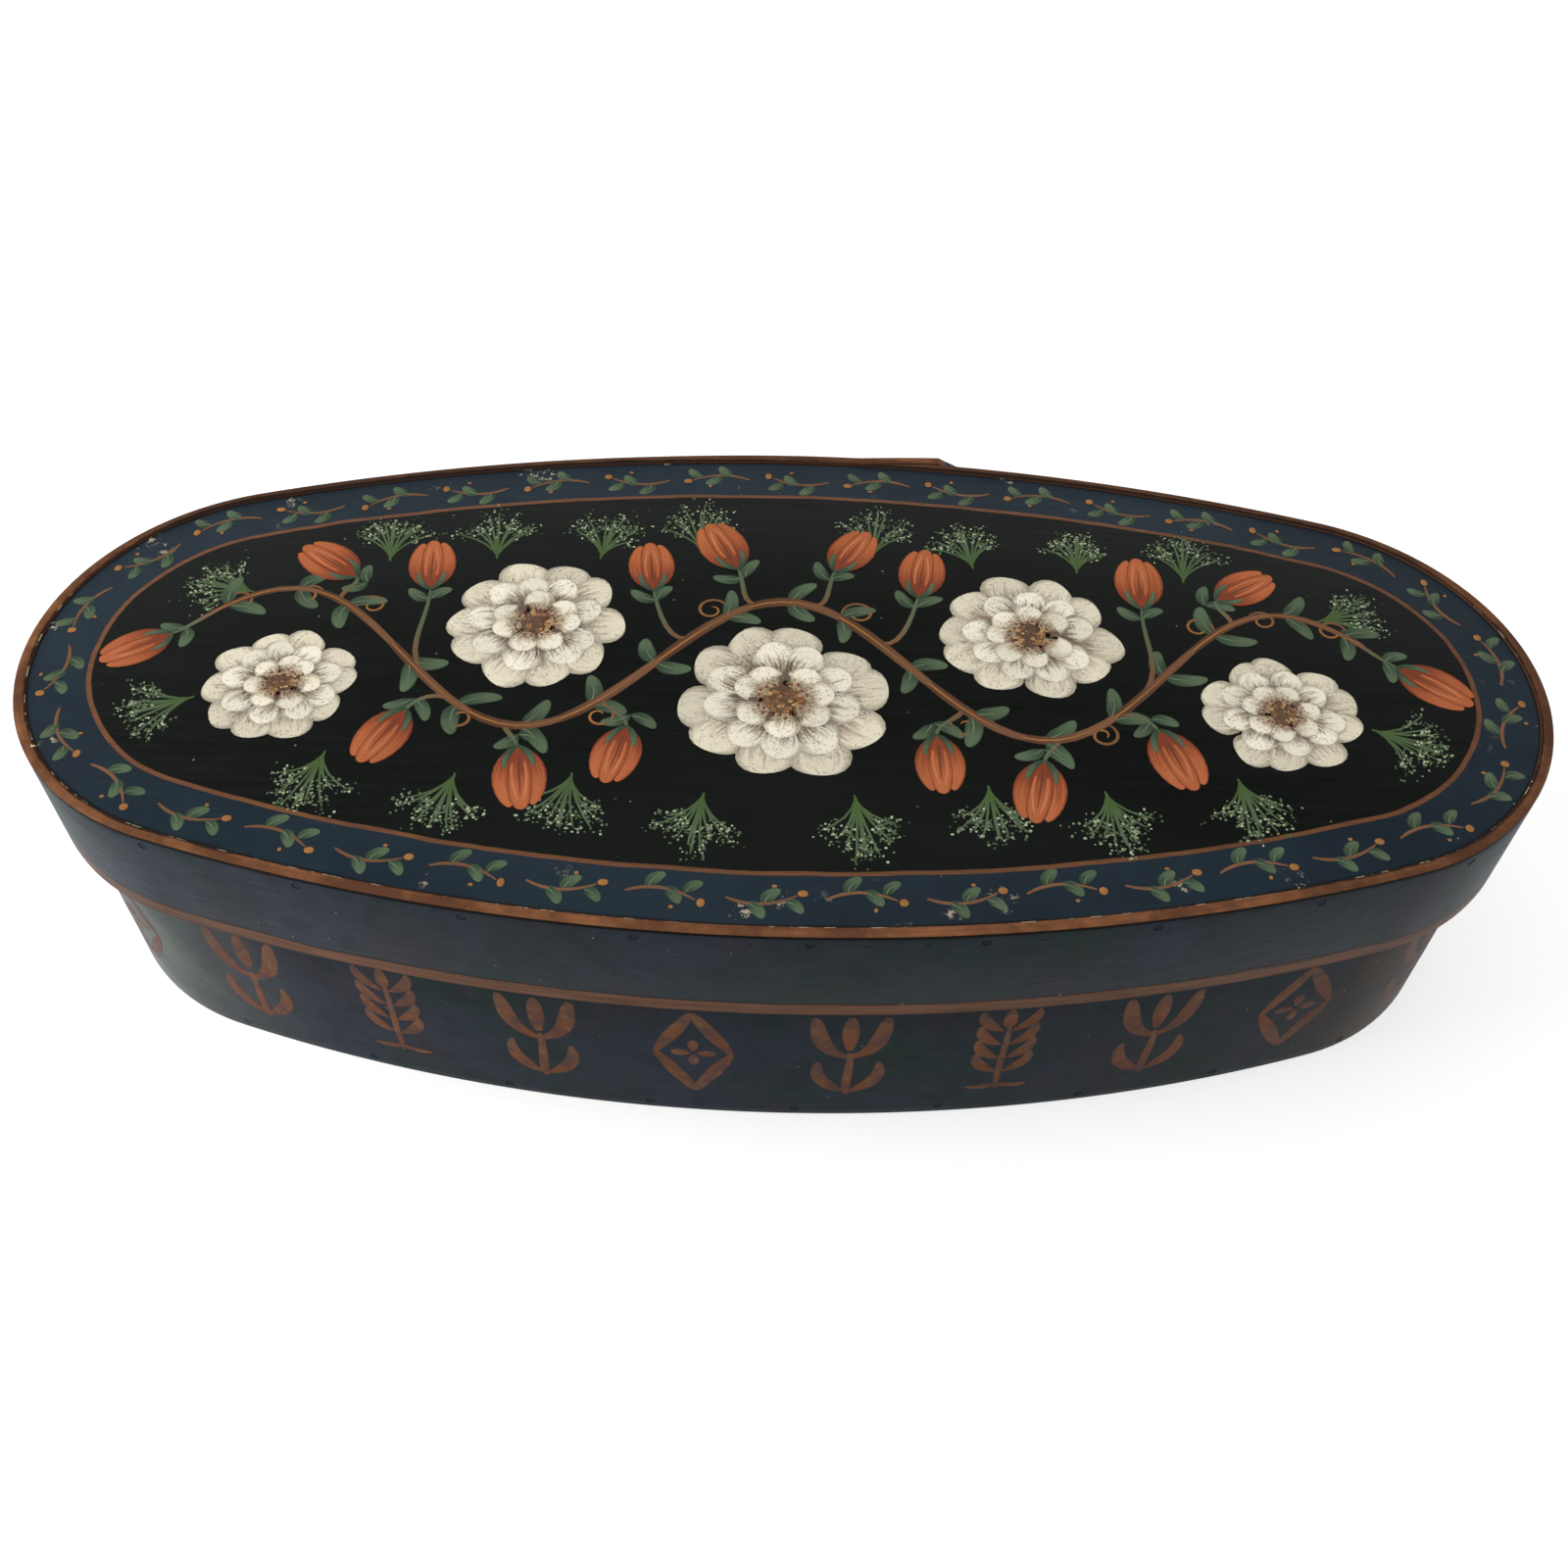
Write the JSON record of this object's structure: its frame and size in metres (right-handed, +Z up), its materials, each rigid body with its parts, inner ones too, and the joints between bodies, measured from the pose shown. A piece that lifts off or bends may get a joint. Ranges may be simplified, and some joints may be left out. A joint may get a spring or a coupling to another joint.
{
  "type": "oval bentwood box",
  "caption": "Long oval bentwood box with a lift-off lid; finger laps at the back, thin boards pegged into the bent bands.",
  "frame": {"origin": "middle of the oval on the underside of the bottom board, where the box rests", "axes": "+X along the oval's length, +Y towards the finger laps at the back, +Z up"},
  "size_m": [0.4059, 0.1817, 0.09],
  "materials": {
    "lid_top_paint": "dark paint, satin, over pine",
    "lid_paint": "slate blue paint with rust edge lines",
    "base_paint": "slate blue paint outside, bare maple inside",
    "bare_pine": "bare, aged",
    "peg_wood": "bare end grain, painted over outside",
    "copper_tack": "copper, dull"
  },
  "bodies": {
    "base": {"base_band": "base_paint", "base_board": "bare_pine", "base_peg_01": "peg_wood", "base_peg_02": "peg_wood", "base_peg_03": "peg_wood", "base_peg_04": "peg_wood", "base_peg_05": "peg_wood", "base_peg_06": "peg_wood", "base_peg_07": "peg_wood", "base_peg_08": "peg_wood", "base_peg_09": "peg_wood", "base_peg_10": "peg_wood", "base_peg_11": "peg_wood", "base_peg_12": "peg_wood", "base_peg_13": "peg_wood", "base_peg_14": "peg_wood", "base_peg_15": "peg_wood", "base_peg_16": "peg_wood", "base_peg_17": "peg_wood", "base_peg_18": "peg_wood", "base_peg_19": "peg_wood", "base_peg_20": "peg_wood", "base_peg_21": "peg_wood", "base_peg_22": "peg_wood", "base_tack_1": "copper_tack", "base_tack_2": "copper_tack", "base_tack_3": "copper_tack", "base_tack_4": "copper_tack", "base_tack_5": "copper_tack", "base_tack_6": "copper_tack"},
    "lid": {"lid_band": "lid_paint", "lid_board": "lid_top_paint", "lid_peg_01": "peg_wood", "lid_peg_02": "peg_wood", "lid_peg_03": "peg_wood", "lid_peg_04": "peg_wood", "lid_peg_05": "peg_wood", "lid_peg_06": "peg_wood", "lid_peg_07": "peg_wood", "lid_peg_08": "peg_wood", "lid_peg_09": "peg_wood", "lid_peg_10": "peg_wood", "lid_peg_11": "peg_wood", "lid_peg_12": "peg_wood", "lid_peg_13": "peg_wood", "lid_peg_14": "peg_wood", "lid_peg_15": "peg_wood", "lid_peg_16": "peg_wood", "lid_peg_17": "peg_wood", "lid_peg_18": "peg_wood", "lid_peg_19": "peg_wood", "lid_peg_20": "peg_wood", "lid_peg_21": "peg_wood", "lid_peg_22": "peg_wood", "lid_tack_1": "copper_tack", "lid_tack_2": "copper_tack", "lid_tack_3": "copper_tack"}
  },
  "joints": [
    {"name": "lid_lift", "type": "slide", "parent": "base", "child": "lid", "axis": [0, 0, 1], "range_m": [0, 0.1]}
  ]
}
